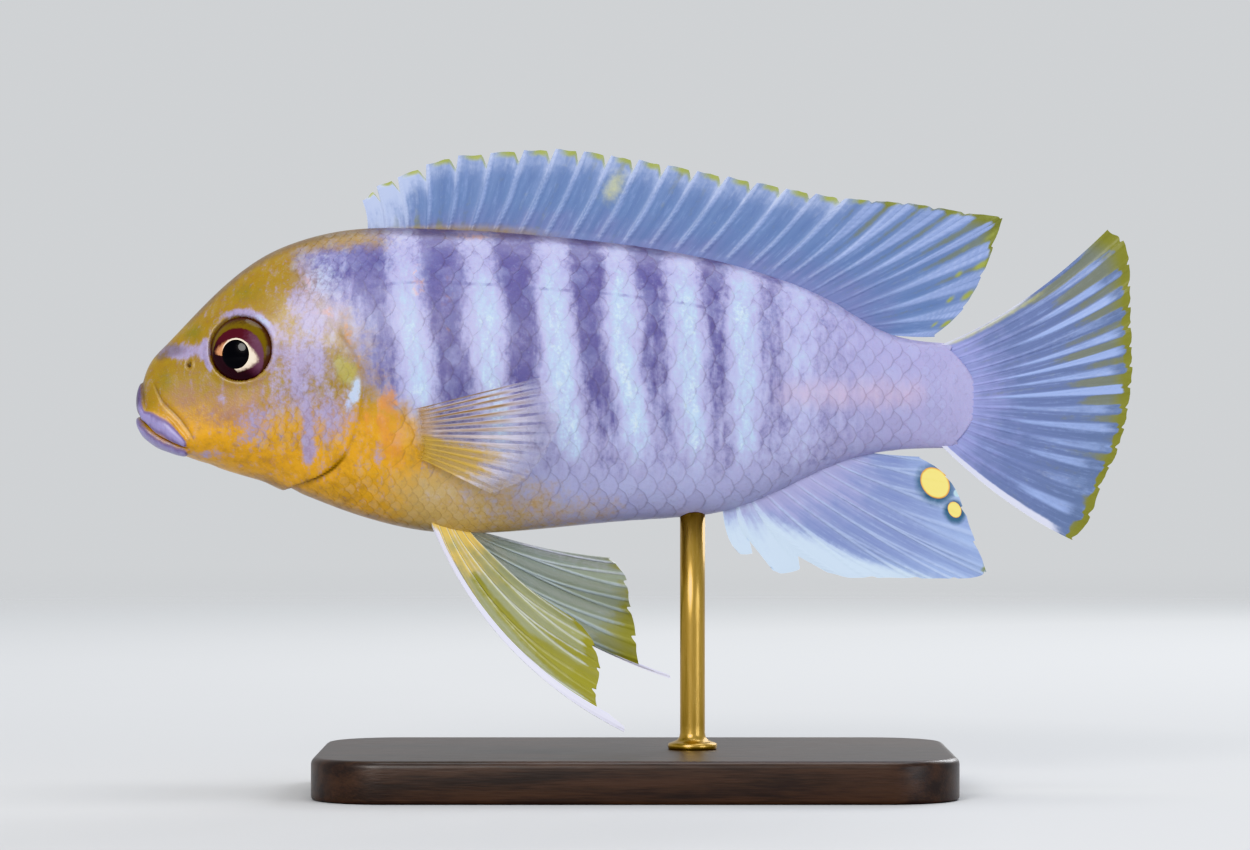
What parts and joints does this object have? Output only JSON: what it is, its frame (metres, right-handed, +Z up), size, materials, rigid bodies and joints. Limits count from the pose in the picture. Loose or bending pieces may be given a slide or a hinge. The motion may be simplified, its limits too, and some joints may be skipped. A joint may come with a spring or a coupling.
{
  "type": "fish display model",
  "caption": "Life-size still model of a male Metriaclima hajomaylandi cichlid with its fins spread, held over a flat base by a short rod.",
  "frame": {"origin": "centre of the stand base's underside, which rests on the table", "axes": "+X from the fish's snout towards its tail, +Y towards the fish's right side, +Z up"},
  "size_m": [0.1195, 0.046, 0.077],
  "materials": {
    "skin": "satin, scaled, golden head and breast, light blue and dark violet bars on the flank",
    "fin": "satin, pale blue rays with olive and yellow between them",
    "clear_fin": "satin, thin and see-through between dark or white rays",
    "eye": "wet gloss, black pupil, pale inner ring, dark brown iris with a golden rim",
    "stand_base": "dark, satin varnish",
    "stand_rod": "satin"
  },
  "bodies": {
    "root": {"head": "skin", "torso": "skin", "tail": "skin", "eye_left": "eye", "eye_right": "eye", "dorsal_fin": "fin", "anal_fin": "fin", "caudal_fin": "fin", "pectoral_fin_left": "clear_fin", "pectoral_fin_right": "clear_fin", "pelvic_fin_left": "clear_fin", "pelvic_fin_right": "clear_fin", "stand_base": "stand_base", "stand_rod": "stand_rod"}
  },
  "joints": []
}
